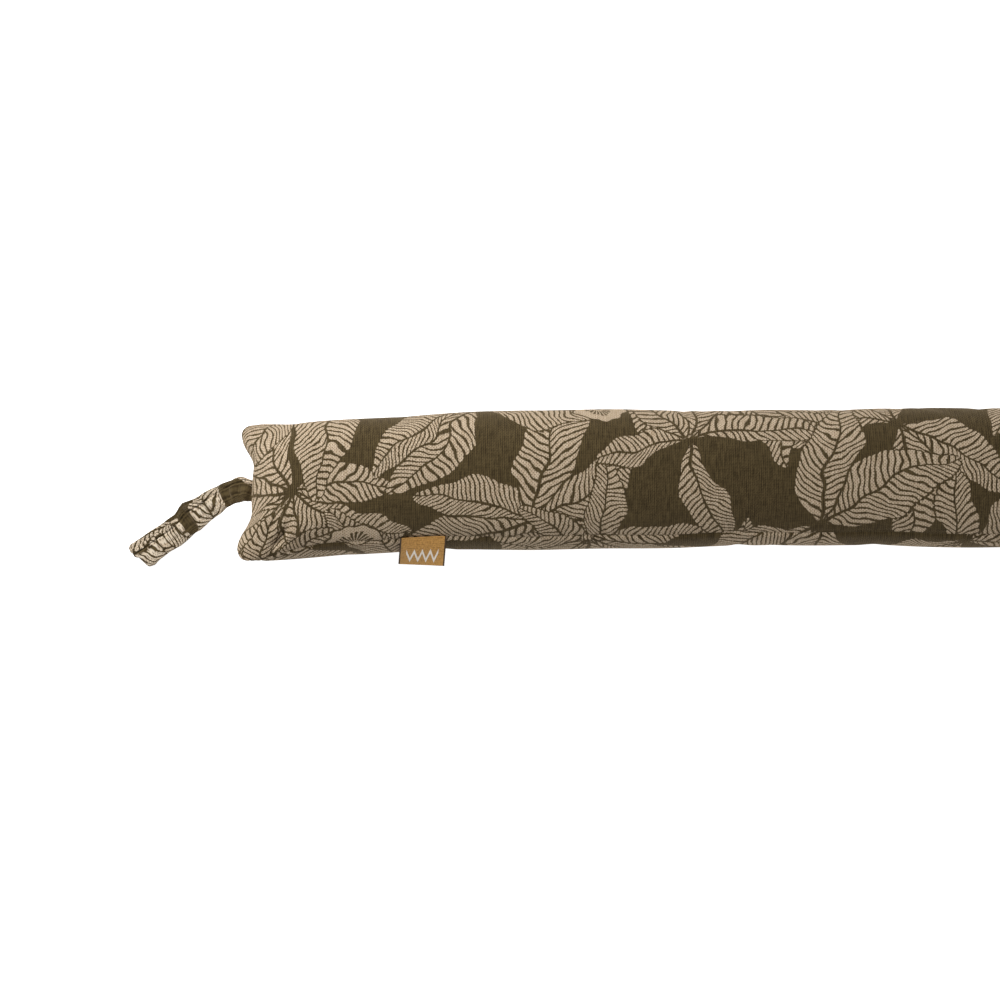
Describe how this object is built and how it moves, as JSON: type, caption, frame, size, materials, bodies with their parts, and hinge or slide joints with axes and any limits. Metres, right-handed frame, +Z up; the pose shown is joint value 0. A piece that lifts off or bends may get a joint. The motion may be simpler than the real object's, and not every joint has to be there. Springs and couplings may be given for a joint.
{
  "type": "stuffed fabric draught excluder",
  "caption": "Long stuffed tube of leaf-printed cloth with flat-sewn ends, a doubled cloth hanging loop and a small folded side label, lying on its back.",
  "frame": {"origin": "middle of the flat that the body rests on, at the floor", "axes": "+X along the body away from the hanging loop, -Y to the side with the lengthwise seam and label, +Z up from the floor"},
  "size_m": [1.0144, 0.1589, 0.0878],
  "materials": {
    "printed_cotton": "matt woven cotton with a pale leaf print on olive brown",
    "strap_cotton": "matt woven cotton, the same cloth folded to a strap",
    "woven_label": "smooth dense weave in ochre, with a faint sheen"
  },
  "bodies": {
    "root": {"filled_body": "printed_cotton", "hanging_loop": "strap_cotton", "side_label": "woven_label"}
  },
  "joints": []
}
